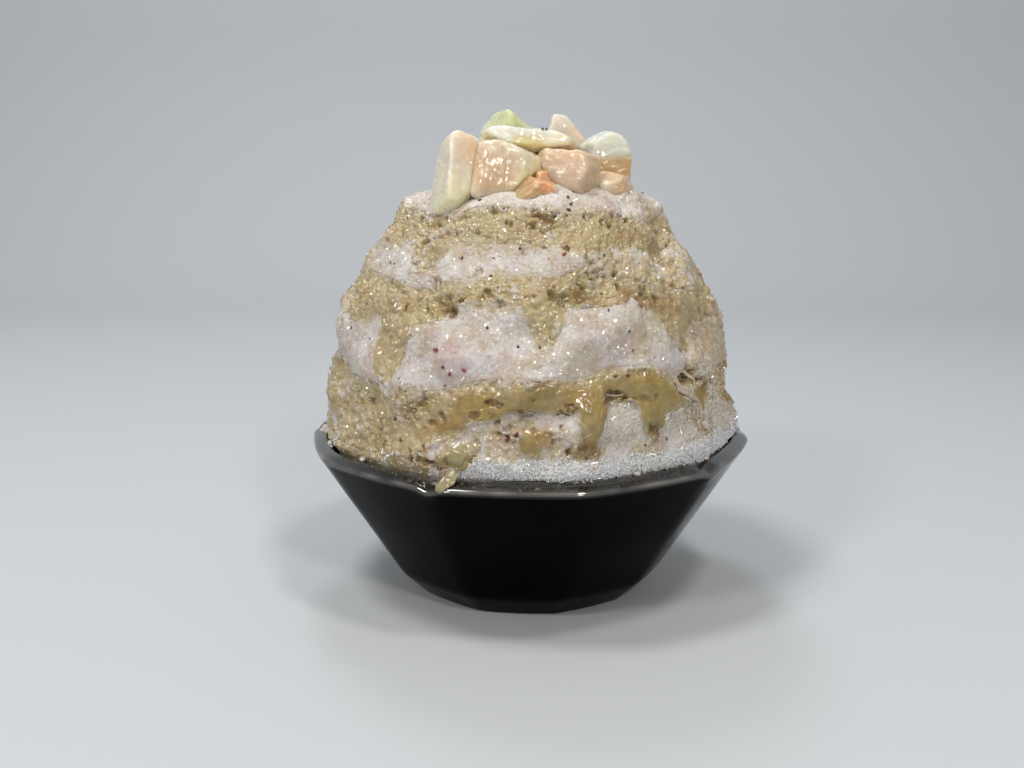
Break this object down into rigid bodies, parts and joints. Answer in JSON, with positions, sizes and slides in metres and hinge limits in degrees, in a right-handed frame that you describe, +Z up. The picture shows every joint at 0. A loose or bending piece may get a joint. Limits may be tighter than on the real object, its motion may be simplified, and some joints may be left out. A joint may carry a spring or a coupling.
{
  "type": "shaved ice dessert",
  "caption": "Tall heap of shaved ice with bands of pale tan milk sauce, served in a faceted black glazed bowl and topped with a pile of cut peach.",
  "frame": {"origin": "centre of the foot ring, on the surface that the bowl stands on", "axes": "+Z up; -Y is the front, the side with the two longest tongues of sauce left of the middle; +X is to the right as seen from the front"},
  "size_m": [0.1514, 0.1486, 0.1616],
  "materials": {
    "black_glaze": "polished",
    "shaved_ice": "matte",
    "pink_ice": "matte",
    "milk_sauce": "satin",
    "peach_pink": "satin",
    "peach_pale": "satin"
  },
  "bodies": {
    "root": {"bowl": "black_glaze", "ice_base": "shaved_ice", "sauce_lower": "milk_sauce", "ice_middle": "shaved_ice", "sauce_middle": "milk_sauce", "ice_upper": "shaved_ice", "sauce_upper": "milk_sauce", "ice_crown": "pink_ice", "peach_tall_wedge": "peach_pink", "peach_front_chunk": "peach_pink", "peach_right_chunk": "peach_pink", "peach_gap_chunk": "peach_pink", "peach_low_sliver": "peach_pink", "peach_low_crumb": "peach_pink", "peach_side_cube": "peach_pale", "peach_back_left": "peach_pink", "peach_back_right": "peach_pink", "peach_back_middle": "peach_pink", "peach_top_slice": "peach_pale", "peach_top_green": "peach_pale", "peach_top_point": "peach_pink"}
  },
  "joints": []
}
